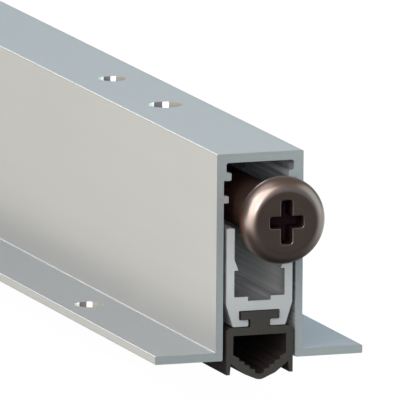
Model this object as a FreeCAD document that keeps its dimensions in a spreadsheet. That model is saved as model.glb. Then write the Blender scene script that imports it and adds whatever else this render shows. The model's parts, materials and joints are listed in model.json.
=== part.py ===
import FreeCAD
import Part
import Sketcher
import math
import os
import re

# Automatic door bottom seal, in millimetres. The plunger end looks along +X and the top web is up.
# The origin is the centre of the four flange screw holes, in the plane of the flanges' top faces.

SIZES = {
    # aluminium housing: an inverted channel with a mounting flange on each side
    "housing_length": 335.0,
    "housing_width": 16.0,
    "housing_height": 36.6,
    "flange_width": 38.4,
    "flange_thickness": 1.5,
    "side_wall": 1.3,
    "top_wall": 1.6,
    "channel_depth": 1.8,
    "channel_inset": 0.45,
    "upper_lip": 1.35,
    "upper_lip_reach": 1.4,
    "groove_height": 2.7,
    "lower_lip": 1.25,
    "lower_lip_reach": 0.9,
    "edge_round": 0.25,
    "groove_round": 0.45,
    "flange_hole": 5.2,
    "flange_hole_inset": 50.0,
    "flange_hole_offset": 0.4,
    "top_hole": 6.0,
    "top_hole_inset": 50.0,
    "small_top_hole": 5.0,
    "small_top_hole_inset": 78.0,
    # light extrusion that carries the rubber, at rest inside the housing
    "carrier_rest": 5.9,
    "carrier_clearance": 0.6,
    "arm_gap": 4.55,
    "arm_wall": 1.45,
    "carrier_floor": 5.25,
    "floor_groove": 0.75,
    "floor_groove_half": 2.1,
    "barb_height": 10.0,
    "barb_reach": 0.7,
    "barb_edge": 0.15,
    "barb_slope": 1.75,
    "shoulder_height": 4.0,
    "foot_half": 4.85,
    "slot_mouth_half": 2.0,
    "slot_half": 3.75,
    "slot_lip": 1.15,
    "slot_height": 1.65,
    "carrier_round": 0.2,
    # rubber profile, hooked into the carrier's slot
    "seal_gap": 0.1,
    "seal_side_play": 0.05,
    "seal_overhang": 0.4,
    "seal_head_play": 0.25,
    "seal_bevel": 0.5,
    "seal_top_wall": 1.4,
    "seal_side_wall": 1.25,
    "seal_side_depth": 4.8,
    "seal_cavity_depth": 8.4,
    "fin_thickness": 0.65,
    "fin_depth": 8.3,
    "notch_depth": 6.3,
    "notch_width": 0.2,
    "belly_depth": 8.2,
    "belly_half": 3.0,
    "tip_depth": 9.5,
    "tip_round": 2.0,
    "rib_tip": 0.14,
    "rib_drop": 0.55,
    # turned plunger with its adjusting thread
    "axis_below_groove": 2.55,
    "plunger_reach": 13.8,
    "head_diameter": 15.46,
    "head_thickness": 3.6,
    "head_round": 2.5,
    "head_back_round": 0.9,
    "shaft_diameter": 9.0,
    "shaft_inside": 46.0,
    "shaft_edge": 0.5,
    "cross_tall": 7.95,
    "cross_wide": 6.4,
    "cross_slot": 2.3,
    "cross_corner": 0.45,
    "cross_depth": 3.4,
    "stud_diameter": 5.0,
    "thread_play": 0.05,
    "stud_engaged": 24.0,
    "bore_spare": 4.0,
    "washer_thickness": 1.2,
    "washer_play": 0.1,
    "turning_gap": 0.05,
    # fixed blocks in the housing's grooves
    "fit_play": 0.3,
    "tongue_play": 0.2,
    "bush_start": 26.0,
    "bush_length": 12.0,
    "bush_play": 0.05,
    "bush_wall": 1.1,
    "grub_diameter": 3.0,
    "grub_gap": 0.5,
    "grub_socket": 1.5,
    "grub_socket_depth": 1.3,
    "stop_inset": 25.0,
    "stop_length": 10.0,
    "block_depth": 1.7,
    # cam drive: an inclined slot in the bar pushes each hanger's pin down
    "push_stroke": 6.4,
    "foot_thickness": 3.85,
    "station_inset": 105.0,
    "pin_diameter": 3.0,
    "pin_play": 0.15,
    "bar_thickness": 2.4,
    "bar_half": 2.5,
    "lug_wall": 1.6,
    "bar_side_play": 0.15,
    "guide_half": 18.0,
    "prong_end": 11.5,
    "prong_play": 0.15,
    "window_play": 0.35,
    "grub_offset": 15.0,
    "grub_aside": 3.2,
    "hanger_half": 12.0,
    "column_half": 4.5,
    "column_cap": 1.3,
    "cheek_play": 0.3,
    "foot_play": 0.2,
    "screw_diameter": 3.0,
    "screw_head": 5.5,
    "screw_head_height": 1.6,
    "screw_spacing": 16.6,
    "screw_seat": 1.95,
    "screw_recess_play": 0.1,
    "screw_socket": 2.5,
    "screw_tip_gap": 0.2,
    # sliders, tail rod and springs of the drive
    "slider_start": 57.0,
    "slider_length": 14.0,
    "slider_play": 0.15,
    "bar_seat": 6.0,
    "slider_pin_diameter": 2.5,
    "tail_slider_inset": 61.0,
    "tail_diameter": 4.0,
    "tail_play": 0.1,
    "tail_end_inset": 15.0,
    "nut_width": 7.0,
    "nut_thickness": 3.2,
    "nut_gap": 0.1,
    "return_wire": 0.9,
    "return_radius": 3.1,
    "return_turns": 8.0,
    "locking_wire": 0.7,
    "locking_radius": 3.4,
    "locking_turns": 4.5,
    "spring_end_gap": 0.05,
}

# Levels above the flanges' underside, which the housing, carrier and rubber are drawn from
CAVITY_HALF = "(housing_width / 2 - side_wall)"
UPPER_LIP_HALF = f"({CAVITY_HALF} - upper_lip_reach)"
LOWER_LIP_HALF = f"({CAVITY_HALF} - lower_lip_reach)"
CEILING = "(housing_height - top_wall)"
CHANNEL_FLOOR = f"({CEILING} - channel_depth)"
GROOVE_TOP = f"({CHANNEL_FLOOR} - upper_lip)"
GROOVE_FLOOR = f"({GROOVE_TOP} - groove_height)"
LIP_UNDERSIDE = f"({GROOVE_FLOOR} - lower_lip)"
AXIS = f"({GROOVE_FLOOR} - axis_below_groove)"
CARRIER_HALF = f"({CAVITY_HALF} - carrier_clearance)"
CARRIER_HEIGHT = f"({LIP_UNDERSIDE} - arm_gap - carrier_rest)"
ARM_INNER = f"({CARRIER_HALF} - arm_wall)"
BARB_TIP = f"({ARM_INNER} - barb_reach)"
BARB_TOP = "(barb_height + barb_edge + barb_slope)"

# The same levels above the plunger's axis, which the drive is drawn from
FLOOR_UP = "axis_below_groove"
TOP_UP = "(axis_below_groove + groove_height)"
CEILING_UP = f"({TOP_UP} + upper_lip + channel_depth)"
LIP_UP = "(axis_below_groove - lower_lip)"
ARM_TOP_UP = f"({LIP_UP} - arm_gap)"
CARRIER_FLOOR_UP = f"(carrier_rest + carrier_floor - {AXIS})"
BARB_UP = f"(carrier_rest + barb_height - {AXIS})"

NECK_HALF = f"({UPPER_LIP_HALF} - fit_play)"
TONGUE_HALF = f"({CAVITY_HALF} - tongue_play)"
TONGUE_TOP = f"({TOP_UP} - tongue_play)"
BLOCK_TOP = f"({CEILING_UP} - fit_play)"
BETWEEN_ARMS = f"({ARM_INNER} - fit_play)"
BETWEEN_BARBS = f"({BARB_TIP} - fit_play)"
GRUB_LENGTH = f"({CEILING_UP} - shaft_diameter / 2 - grub_gap)"

END = "(housing_length / 2)"
STATION = f"({END} - station_inset)"
SLOT_HALF = "(pin_diameter / 2 + pin_play)"
LUG_OUT = f"({SLOT_HALF} + lug_wall)"
DROP = f"(-{CARRIER_FLOOR_UP} - {LUG_OUT} - window_play - foot_thickness)"
BAR_BOTTOM = f"({DROP} + {LUG_OUT})"
CROTCH_UP = f"(-{BAR_BOTTOM} - window_play)"
FOOT_TOP_UP = f"({BARB_UP} - foot_play)"
PRONG_BOTTOM_UP = f"({FOOT_TOP_UP} + fit_play)"
BRIDGE_UP = f"({LUG_OUT} + window_play)"
CHEEK_INNER = "(bar_thickness / 2 + cheek_play)"
SCREW_HEAD_UP = f"({CARRIER_FLOOR_UP} + screw_seat + screw_head_height)"
SLOT_ROOF_UP = f"(carrier_rest + slot_lip + slot_height - {AXIS})"

doc = FreeCAD.newDocument("door_bottom_seal")
sheet = doc.addObject("Spreadsheet::Sheet", "Sizes")
for row, (alias, size) in enumerate(SIZES.items(), start=1):
    sheet.set(f"A{row}", alias.replace("_", " "))
    sheet.set(f"B{row}", str(size))
    sheet.setAlias(f"B{row}", alias)
doc.recompute()

nodes = []


def formula(text):
    """An expression in size names, as the document reads it."""
    return re.sub(r"[a-z_]+", lambda word: f"Sizes.{word[0]}" if word[0] in SIZES else word[0], text)


def amount(text):
    """The present value of an expression in size names."""
    return float(sheet.evalExpression(formula(text)))


def bind(thing, prop, text):
    thing.setExpression(prop, formula(text))


def place(thing, x="0", y="0", z="0"):
    for axis, text in zip("xyz", (x, y, z)):
        bind(thing, f".Placement.Base.{axis}", text)


def keep(thing, label):
    """Marks a finished sub-part, whose label names its file."""
    thing.Label = label
    nodes.append(thing)
    return thing


def new_body(label):
    return keep(doc.addObject("PartDesign::Body", label), label)


def origin_feature(body, role):
    return next(feature for feature in body.Origin.OriginFeatures if feature.Role == role)


def new_sketch(body, plane, offset=None):
    """A sketch on one of the body's own planes, moved along the plane's normal by offset."""
    sketch = body.newObject("Sketcher::SketchObject", f"{body.Name}_sketch")
    sketch.AttachmentSupport = [(origin_feature(body, plane), "")]
    sketch.MapMode = "FlatFace"
    if offset:
        bind(sketch, "AttachmentOffset.Base.z", offset)
    return sketch


def dimension(sketch, kind, element, point, text, start):
    index = sketch.addConstraint(Sketcher.Constraint(kind, element, point, start))
    bind(sketch, f"Constraints[{index}]", text)


def add_outline(sketch, corners):
    """A closed outline of straight edges; each corner is a pair of formulas, across and up."""
    count = len(corners)
    first = sketch.GeometryCount
    spread = 10.0
    turn = 2 * math.pi / count
    starts = [FreeCAD.Vector(spread * math.cos(turn * i), spread * math.sin(turn * i), 0) for i in range(count)]
    for i in range(count):
        sketch.addGeometry(Part.LineSegment(starts[i], starts[(i + 1) % count]), False)
    for i in range(count):
        sketch.addConstraint(Sketcher.Constraint("Coincident", first + i, 2, first + (i + 1) % count, 1))
    for i, (across, up) in enumerate(corners):
        dimension(sketch, "DistanceX", first + i, 1, across, starts[i].x)
        dimension(sketch, "DistanceY", first + i, 1, up, starts[i].y)


def add_box(sketch, low_across, low_up, high_across, high_up):
    add_outline(
        sketch,
        [(low_across, low_up), (high_across, low_up), (high_across, high_up), (low_across, high_up)],
    )


def add_circle(sketch, across, up, radius):
    element = sketch.addGeometry(Part.Circle(FreeCAD.Vector(1, 1, 0), FreeCAD.Vector(0, 0, 1), 1), False)
    dimension(sketch, "DistanceX", element, 3, across, 1)
    dimension(sketch, "DistanceY", element, 3, up, 1)
    bind(sketch, f"Constraints[{sketch.addConstraint(Sketcher.Constraint('Radius', element, 1))}]", radius)


def mirrored(half):
    """The whole outline from its right half, which starts and ends beside the middle plane."""
    return half + [(f"-({across})", up) for across, up in reversed(half) if across != "0"]


def add_feature(body, kind, sketch, length=None, both_ways=True, backwards=False):
    feature = body.newObject(f"PartDesign::{kind}", f"{body.Name}_{kind.lower()}")
    feature.Profile = sketch
    if both_ways:
        feature.SideType = "Symmetric"
    if length:
        bind(feature, "Length", length)
    else:
        feature.Type = "ThroughAll"
    feature.Reversed = backwards
    return feature


def extrude(body, corners, length, plane="YZ_Plane", offset=None, both_ways=True, backwards=False):
    sketch = new_sketch(body, plane, offset)
    add_outline(sketch, corners)
    add_feature(body, "Pad", sketch, length, both_ways, backwards)
    return sketch


def drill(body, plane, holes, length=None, offset=None, both_ways=True, backwards=False):
    """Round holes through the body, each given as across, up and radius."""
    sketch = new_sketch(body, plane, offset)
    for across, up, radius in holes:
        add_circle(sketch, across, up, radius)
    add_feature(body, "Pocket", sketch, length, both_ways, backwards)


def edges_at(shape, points, along):
    """Names of the edges that run along one axis through the given points of the plane across it."""
    found = []
    for number, edge in enumerate(shape.Edges, start=1):
        ends = [vertex.Point for vertex in edge.Vertexes]
        if len(ends) != 2 or abs(ends[0].sub(ends[1]).normalize().dot(along)) < 0.999:
            continue
        if any(ends[0].sub(point).cross(along).Length < 0.01 for point in points):
            found.append(f"Edge{number}")
    return found


def round_corners(body, sketch, corners, radius):
    """Rounds the long edges that the numbered corners of an outline on the YZ plane leave."""
    doc.recompute()
    base = body.Tip
    points = [FreeCAD.Vector(0, corner.x, corner.y) for corner in (sketch.getPoint(i, 1) for i in corners)]
    fillet = body.newObject("PartDesign::Fillet", f"{body.Name}_fillet")
    fillet.Base = (base, edges_at(base.Shape, points, FreeCAD.Vector(1, 0, 0)))
    bind(fillet, "Radius", radius)


def both_sides(corners, count):
    """Corner numbers of a mirrored outline, from those of its right half."""
    return list(corners) + [count - 1 - corner for corner in corners]


def make_housing():
    half = [
        (f"{CAVITY_HALF} - channel_inset", CEILING),
        (f"{CAVITY_HALF} - channel_inset", CHANNEL_FLOOR),
        (UPPER_LIP_HALF, CHANNEL_FLOOR),
        (UPPER_LIP_HALF, GROOVE_TOP),
        (CAVITY_HALF, GROOVE_TOP),
        (CAVITY_HALF, GROOVE_FLOOR),
        (LOWER_LIP_HALF, GROOVE_FLOOR),
        (LOWER_LIP_HALF, LIP_UNDERSIDE),
        (CAVITY_HALF, LIP_UNDERSIDE),
        (CAVITY_HALF, "0"),
        ("flange_width / 2", "0"),
        ("flange_width / 2", "flange_thickness"),
        ("housing_width / 2", "flange_thickness"),
        ("housing_width / 2", "housing_height"),
    ]
    body = new_body("housing")
    place(body, z="-flange_thickness")
    outline = extrude(body, mirrored(half), "housing_length")
    count = 2 * len(half)
    round_corners(body, outline, both_sides([0, 1], count), "groove_round")
    round_corners(body, outline, both_sides([5], count), "tongue_play")
    round_corners(body, outline, both_sides([2, 3, 6, 7, 9, 10, 11, 12, 13], count), "edge_round")
    aside = "((housing_width + flange_width) / 4 + flange_hole_offset)"
    along = f"({END} - flange_hole_inset)"
    drill(
        body,
        "XY_Plane",
        [(f"{x}{along}", f"{y}{aside}", "flange_hole / 2") for x in ("", "-") for y in ("", "-")],
    )
    drill(
        body,
        "XY_Plane",
        [
            (f"{END} - top_hole_inset", "0", "top_hole / 2"),
            (f"{END} - small_top_hole_inset", "0", "small_top_hole / 2"),
        ],
    )


def make_carrier():
    half = [
        ("floor_groove_half", "carrier_floor - floor_groove"),
        ("floor_groove_half", "carrier_floor"),
        (ARM_INNER, "carrier_floor"),
        (ARM_INNER, "barb_height"),
        (BARB_TIP, "barb_height"),
        (BARB_TIP, "barb_height + barb_edge"),
        (ARM_INNER, BARB_TOP),
        (ARM_INNER, CARRIER_HEIGHT),
        (CARRIER_HALF, CARRIER_HEIGHT),
        (CARRIER_HALF, "shoulder_height"),
        ("foot_half", "0"),
        ("slot_mouth_half", "0"),
        ("slot_mouth_half", "slot_lip"),
        ("slot_half", "slot_lip"),
        ("slot_half", "slot_lip + slot_height"),
    ]
    body = new_body("seal_carrier")
    place(body, z="carrier_rest - flange_thickness")
    outline = extrude(body, mirrored(half), "housing_length")
    round_corners(body, outline, both_sides([7, 8, 10, 11, 12, 13, 14], 2 * len(half)), "carrier_round")
    screws = [f"{station}{STATION} {side} screw_spacing / 2" for station in ("", "-") for side in "+-"]
    drill(body, "XY_Plane", [(x, "0", "screw_diameter / 2") for x in screws])


def make_rubber():
    side = f"({CAVITY_HALF} - carrier_clearance + seal_side_play)"
    cavity = f"({side} - seal_side_wall)"
    neck = "(slot_mouth_half - seal_head_play)"
    head = "(slot_half - seal_head_play)"
    half = [
        (head, "slot_lip + slot_height"),
        (head, "slot_lip + 2 * seal_gap"),
        (neck, "slot_lip + 2 * seal_gap"),
        (neck, "0"),
        (f"{side} - seal_bevel", "0"),
        (side, "-seal_bevel"),
        (side, "-fin_depth"),
        (f"{side} - fin_thickness", "-fin_depth"),
        (f"{side} - fin_thickness - notch_width", "-notch_depth"),
        ("belly_half", "-belly_depth"),
    ]
    ribs = 5
    hollow = [(cavity, "-seal_top_wall"), (cavity, "-seal_side_depth")]
    for rib in range(1, ribs):
        across = f"{cavity} * {ribs - rib} / {ribs}"
        up = f"-seal_side_depth - (seal_cavity_depth - seal_side_depth) * {rib} / {ribs}"
        hollow += [(f"{across} - rib_tip", f"{up} + rib_tip"), (f"{across} - rib_tip", f"{up} + rib_tip - rib_drop")]
    hollow.append(("0", "-seal_cavity_depth"))
    body = new_body("rubber_seal")
    place(body, z="carrier_rest - seal_gap - flange_thickness")
    sketch = new_sketch(body, "YZ_Plane")
    whole = mirrored(half + [("0", "-tip_depth")])
    add_outline(sketch, whole)
    add_outline(sketch, mirrored(hollow))
    add_feature(body, "Pad", sketch, "housing_length + 2 * seal_overhang")
    tip = len(half)
    round_corners(body, sketch, [tip - 1, tip, tip + 1], "tip_round")


def make_fixed_block(label, x, length, lower, bore=None, middle=None):
    """A block whose tongues lie in the housing's grooves; lower is the outline below the tongues."""
    body = new_body(label)
    place(body, x, "0", f"{AXIS} - flange_thickness")
    half = [(NECK_HALF, BLOCK_TOP), (NECK_HALF, TONGUE_TOP), (TONGUE_HALF, TONGUE_TOP), (TONGUE_HALF, FLOOR_UP)]
    extrude(body, mirrored(half + lower), length)
    if bore:
        drill(body, "YZ_Plane", [("0", "0", bore)])
    if middle:
        drill(body, "XY_Plane", [("0", "0", "grub_diameter / 2")], BLOCK_TOP, None, False, True)
    return body


def make_bush():
    lower = [
        (f"{LOWER_LIP_HALF} - fit_play", FLOOR_UP),
        (f"{LOWER_LIP_HALF} - fit_play", f"{LIP_UP} - tongue_play"),
        (f"{CAVITY_HALF} - fit_play", f"{LIP_UP} - tongue_play"),
        (f"{CAVITY_HALF} - fit_play", f"{ARM_TOP_UP} + fit_play"),
        (BETWEEN_ARMS, f"{ARM_TOP_UP} + fit_play"),
        (BETWEEN_ARMS, "-(shaft_diameter / 2 + bush_wall)"),
    ]
    middle = f"{END} - bush_start - bush_length / 2"
    make_fixed_block("plunger_bush", middle, "bush_length", lower, "shaft_diameter / 2 + bush_play", True)
    return middle


def make_spring_stop():
    lower = [
        (BETWEEN_ARMS, FLOOR_UP),
        (BETWEEN_ARMS, "-(stud_diameter / 2 + block_depth)"),
    ]
    middle = f"-({END} - stop_inset - stop_length / 2)"
    make_fixed_block("spring_stop", middle, "stop_length", lower, "tail_diameter / 2 + tail_play", True)
    return middle


def make_guide_block(label, x):
    """The bridge spans the housing's grooves; its four prongs straddle the bar and guide the hanger."""
    recess = f"({BETWEEN_BARBS} + fit_play)"
    lower = [(recess, FLOOR_UP), (recess, BRIDGE_UP)]
    body = make_fixed_block(label, x, "2 * guide_half", lower)
    sketch = new_sketch(body, "XY_Plane", BRIDGE_UP)
    inner = "(column_half + prong_play)"
    beside = "(bar_thickness / 2 + bar_side_play)"
    for x_low, x_high in ((inner, "prong_end"), ("-prong_end", f"-{inner}")):
        for y_low, y_high in ((beside, BETWEEN_BARBS), (f"-{BETWEEN_BARBS}", f"-{beside}")):
            add_box(sketch, x_low, y_low, x_high, y_high)
    add_feature(body, "Pad", sketch, f"{BRIDGE_UP} - {PRONG_BOTTOM_UP}", False, True)
    grubs = [("grub_offset", "grub_aside"), ("-grub_offset", "-grub_aside")]
    drill(body, "XY_Plane", [(across, up, "grub_diameter / 2") for across, up in grubs])


def make_grub_screw(name, x, y):
    """A set screw that stands in a block and bears on the housing's ceiling."""
    shank = doc.addObject("Part::Cylinder", f"{name}_shank")
    bind(shank, "Radius", "grub_diameter / 2")
    bind(shank, "Height", GRUB_LENGTH)
    socket = doc.addObject("Part::Prism", f"{name}_socket")
    socket.Polygon = 6
    bind(socket, "Circumradius", "grub_socket / sqrt(3)")
    bind(socket, "Height", "grub_socket_depth")
    screw = doc.addObject("Part::Cut", name)
    screw.Base = shank
    screw.Tool = socket
    place(screw, x, y, f"{AXIS} + {CEILING_UP} - {GRUB_LENGTH} - flange_thickness")
    return screw


def make_foot_screw(name, x):
    """A socket screw that holds a hanger's foot to the carrier's floor."""
    head = doc.addObject("Part::Cylinder", f"{name}_head")
    bind(head, "Radius", "screw_head / 2")
    bind(head, "Height", "screw_head_height")
    shank = doc.addObject("Part::Cylinder", f"{name}_shank")
    length = f"({CARRIER_FLOOR_UP} + screw_seat - {SLOT_ROOF_UP} - screw_tip_gap)"
    bind(shank, "Radius", "screw_diameter / 2")
    bind(shank, "Height", length)
    place(shank, z=f"-{length}")
    joined = doc.addObject("Part::MultiFuse", f"{name}_joined")
    joined.Shapes = [head, shank]
    socket = doc.addObject("Part::Prism", f"{name}_socket")
    socket.Polygon = 6
    bind(socket, "Circumradius", "screw_socket / sqrt(3)")
    bind(socket, "Height", "screw_head_height")
    place(socket, z="screw_head_height / 2")
    screw = doc.addObject("Part::Cut", name)
    screw.Base = joined
    screw.Tool = socket
    place(screw, x, "0", f"{AXIS} + {CARRIER_FLOOR_UP} + screw_seat - flange_thickness")
    return screw


def group(label, parts):
    """Like fasteners as separate solids of one node."""
    compound = doc.addObject("Part::Compound", label)
    compound.Links = parts
    keep(compound, label)


def make_hanger(label, x):
    """The foot lies in the carrier's channel under its barbs, and the fork above it holds the cam pin."""
    body = new_body(label)
    place(body, x, "0", f"{AXIS} - flange_thickness")
    foot_half = f"({ARM_INNER} - foot_play)"
    half = [
        (CHEEK_INNER, CROTCH_UP),
        (CHEEK_INNER, FOOT_TOP_UP),
        (foot_half, FOOT_TOP_UP),
        (foot_half, CARRIER_FLOOR_UP),
    ]
    extrude(body, mirrored(half), "2 * hanger_half")
    sketch = new_sketch(body, "XY_Plane", CROTCH_UP)
    for y_low, y_high in ((CHEEK_INNER, BETWEEN_BARBS), (f"-{BETWEEN_BARBS}", f"-{CHEEK_INNER}")):
        add_box(sketch, "-column_half", y_low, "column_half", y_high)
    add_feature(body, "Pad", sketch, f"pin_diameter / 2 + column_cap - {CROTCH_UP}", False)
    drill(body, "XZ_Plane", [("0", "0", "pin_diameter / 2")])
    screws = ("screw_spacing / 2", "-screw_spacing / 2")
    drill(body, "XY_Plane", [(across, "0", "screw_diameter / 2") for across in screws])
    drill(
        body,
        "XY_Plane",
        [(across, "0", "screw_head / 2 + screw_recess_play") for across in screws],
        f"{FOOT_TOP_UP} - {CARRIER_FLOOR_UP} - screw_seat",
        FOOT_TOP_UP,
        False,
    )


def make_cross_pin(label, x, z, diameter, half_length):
    """A plain dowel across the drive."""
    pin = doc.addObject("Part::Cylinder", label)
    bind(pin, "Radius", f"{diameter} / 2")
    bind(pin, "Height", f"2 * {half_length}")
    pin.Placement.Rotation = FreeCAD.Rotation(FreeCAD.Vector(1, 0, 0), -90)
    place(pin, x, f"-{half_length}", z)
    keep(pin, label)


def add_cam_slot(sketch):
    """A round-ended slot from the sketch's origin, down and towards the plunger."""
    radius = SIZES["pin_diameter"] / 2 + SIZES["pin_play"]
    fall = FreeCAD.Vector(SIZES["push_stroke"], -amount(DROP), 0)
    beside = FreeCAD.Vector(-fall.y, fall.x, 0).normalize() * radius
    slope = math.atan2(beside.y, beside.x)
    axis = FreeCAD.Vector(0, 0, 1)
    start, end = FreeCAD.Vector(0, 0, 0), fall
    first = sketch.GeometryCount
    sketch.addGeometry(Part.ArcOfCircle(Part.Circle(start, axis, radius), slope, slope + math.pi), False)
    sketch.addGeometry(Part.LineSegment(start - beside, end - beside), False)
    sketch.addGeometry(Part.ArcOfCircle(Part.Circle(end, axis, radius), slope + math.pi, slope + 2 * math.pi), False)
    sketch.addGeometry(Part.LineSegment(end + beside, start + beside), False)
    for i in range(4):
        sketch.addConstraint(Sketcher.Constraint("Tangent", first + i, 2, first + (i + 1) % 4, 1))
    for element, right, down in ((first, "0", "0"), (first + 2, "push_stroke", DROP)):
        dimension(sketch, "DistanceX", element, 3, right, 0)
        dimension(sketch, "DistanceY", element, 3, f"-{down}", 0)
    sketch.addConstraint(Sketcher.Constraint("Equal", first, first + 2))
    index = sketch.addConstraint(Sketcher.Constraint("Radius", first, radius))
    bind(sketch, f"Constraints[{index}]", SLOT_HALF)


def make_bar():
    """A flat bar on edge, with a lug and an inclined slot at each hanger."""
    body = new_body("actuating_bar")
    place(body, STATION, "0", f"{AXIS} - flange_thickness")
    rear = f"(-2 * {STATION})"
    front_end = f"(station_inset - slider_start - slider_length + bar_seat)"
    rear_end = f"({rear} - station_inset + tail_slider_inset + slider_length - bar_seat)"
    diagonal = f"sqrt(push_stroke ^ 2 + {DROP} ^ 2)"

    def lug(across):
        slanted = [(f"({level} * push_stroke - {LUG_OUT} * {diagonal}) / {DROP}", level)
                   for level in ("bar_half", BAR_BOTTOM)]
        far = f"{across} + push_stroke + {LUG_OUT}"
        left = [(f"{across} + {offset}", f"-{level}") for offset, level in slanted]
        return left + [(far, f"-{BAR_BOTTOM}"), (far, "-bar_half")]

    corners = [(rear_end, LUG_OUT), (rear_end, "-bar_half")]
    corners += lug(rear) + lug("0")
    corners += [(front_end, "-bar_half"), (front_end, LUG_OUT)]
    extrude(body, corners, "bar_thickness", "XZ_Plane")
    for across in ("0", rear):
        sketch = new_sketch(body, "XZ_Plane")
        bind(sketch, "AttachmentOffset.Base.x", across)
        add_cam_slot(sketch)
        add_feature(body, "Pocket", sketch)
    drill(
        body,
        "XZ_Plane",
        [(f"{front_end} - bar_seat / 2", "0", "slider_pin_diameter / 2"),
         (f"{rear_end} + bar_seat / 2", "0", "slider_pin_diameter / 2")],
    )
    return front_end, rear_end


def make_slider(label, face, turn, rod):
    """A slider that rides in the housing's grooves: a rod's bore in one end, the bar's slot in the other.

    Drawn with the bar's end towards -X; turn is 180 for the slider that holds the bar's other end.
    """
    body = new_body(label)
    body.Placement.Rotation = FreeCAD.Rotation(FreeCAD.Vector(0, 0, 1), turn)
    place(body, face, "0", f"{AXIS} - flange_thickness")
    half = [
        (f"{CAVITY_HALF} - slider_play", f"{TOP_UP} - slider_play"),
        (f"{CAVITY_HALF} - slider_play", f"{FLOOR_UP} + slider_play"),
        (BETWEEN_ARMS, f"{FLOOR_UP} + slider_play"),
        (BETWEEN_ARMS, "-(stud_diameter / 2 + block_depth)"),
    ]
    extrude(body, mirrored(half), "slider_length", "YZ_Plane", None, False, True)
    drill(body, "YZ_Plane", [("0", "0", f"{rod} / 2")], "slider_length - bar_seat", None, False)
    sketch = new_sketch(body, "YZ_Plane", "-slider_length")
    add_box(sketch, "-bar_thickness / 2", "-bar_half", "bar_thickness / 2", LUG_OUT)
    add_feature(body, "Pocket", sketch, "bar_seat", False, True)
    drill(body, "XZ_Plane", [("bar_seat / 2 - slider_length", "0", "slider_pin_diameter / 2")])


def make_rod(label, start, end, diameter):
    """A round rod along the plunger's axis, from start to a larger end."""
    rod = doc.addObject("Part::Cylinder", label)
    bind(rod, "Radius", f"{diameter} / 2")
    bind(rod, "Height", f"{end} - ({start})")
    rod.Placement.Rotation = FreeCAD.Rotation(FreeCAD.Vector(0, 1, 0), 90)
    place(rod, start, "0", f"{AXIS} - flange_thickness")
    return keep(rod, label)


def make_ring(label, start, thickness, outer, bore, sides=None):
    """A washer, or a hexagonal nut with sides, along the plunger's axis."""
    body = new_body(label)
    place(body, start, "0", f"{AXIS} - flange_thickness")
    sketch = new_sketch(body, "YZ_Plane")
    if sides:
        add_outline(
            sketch,
            [(f"{outer} / sqrt(3) * cos({60 * i + 30})", f"{outer} / sqrt(3) * sin({60 * i + 30})") for i in range(6)],
        )
    else:
        add_circle(sketch, "0", "0", f"{outer} / 2")
    add_circle(sketch, "0", "0", bore)
    add_feature(body, "Pad", sketch, thickness, False)


def make_spring(label, start, end, wire, radius, turns):
    """A coil of round wire between two faces on the plunger's axis."""
    seat = f"({wire} / 2 + spring_end_gap)"
    height = f"({end} - ({start}) - 2 * {seat})"
    coil = doc.addObject("Part::Helix", f"{label}_coil")
    bind(coil, "Radius", radius)
    bind(coil, "Height", height)
    bind(coil, "Pitch", f"{height} / {turns}")
    ring = doc.addObject("Part::Circle", f"{label}_wire")
    bind(ring, "Radius", f"{wire} / 2")
    ring.Placement.Rotation = FreeCAD.Rotation(FreeCAD.Vector(1, 0, 0), 90)
    place(ring, radius)
    spring = doc.addObject("Part::Sweep", label)
    spring.Sections = [ring]
    spring.Spine = (coil, [])
    spring.Solid = True
    spring.Frenet = True
    spring.Placement.Rotation = FreeCAD.Rotation(FreeCAD.Vector(0, 1, 0), 90)
    place(spring, f"{start} + {seat}", "0", f"{AXIS} - flange_thickness")
    keep(spring, label)


def make_plunger():
    """Turned in one piece: a cross-slotted head and a shaft with a threaded bore in its inner end."""
    body = new_body("plunger")
    place(body, END, "0", f"{AXIS} - flange_thickness")
    bore = "(stud_diameter / 2 + thread_play)"
    bore_end = "(bore_spare + stud_engaged - shaft_inside)"
    back = "(plunger_reach - head_thickness)"
    sketch = new_sketch(body, "XZ_Plane")
    add_outline(
        sketch,
        [
            ("plunger_reach", "0"),
            ("plunger_reach", "head_diameter / 2"),
            (back, "head_diameter / 2"),
            (back, "shaft_diameter / 2"),
            ("shaft_edge - shaft_inside", "shaft_diameter / 2"),
            ("-shaft_inside", "shaft_diameter / 2 - shaft_edge"),
            ("-shaft_inside", bore),
            (bore_end, bore),
            (bore_end, "0"),
        ],
    )
    turned = body.newObject("PartDesign::Revolution", "plunger_turned")
    turned.Profile = sketch
    turned.ReferenceAxis = (origin_feature(body, "X_Axis"), [""])
    turned.Angle = 360
    doc.recompute()
    for name, radius, pick in (("rim", "head_round", max), ("back_rim", "head_back_round", min)):
        doc.recompute()
        base = body.Tip
        circles = [
            (edge.CenterOfMass.x, number)
            for number, edge in enumerate(base.Shape.Edges, start=1)
            if isinstance(edge.Curve, Part.Circle) and abs(edge.Curve.Radius - amount("head_diameter / 2")) < 0.001
        ]
        fillet = body.newObject("PartDesign::Fillet", f"plunger_{name}")
        fillet.Base = (base, [f"Edge{pick(circles)[1]}"])
        bind(fillet, "Radius", radius)
    half, tall, wide = "cross_slot / 2", "cross_tall / 2", "cross_wide / 2"
    cross = [
        (f"{half} - cross_corner", tall),
        (half, f"{tall} - cross_corner"),
        (half, half),
        (f"{wide} - cross_corner", half),
        (wide, f"{half} - cross_corner"),
        (wide, f"-({half} - cross_corner)"),
        (f"{wide} - cross_corner", f"-{half}"),
        (half, f"-{half}"),
        (half, f"-({tall} - cross_corner)"),
        (f"{half} - cross_corner", f"-{tall}"),
    ]
    recess = new_sketch(body, "YZ_Plane", "plunger_reach")
    add_outline(recess, mirrored(cross))
    add_feature(body, "Pocket", recess, "cross_depth", False)


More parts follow.
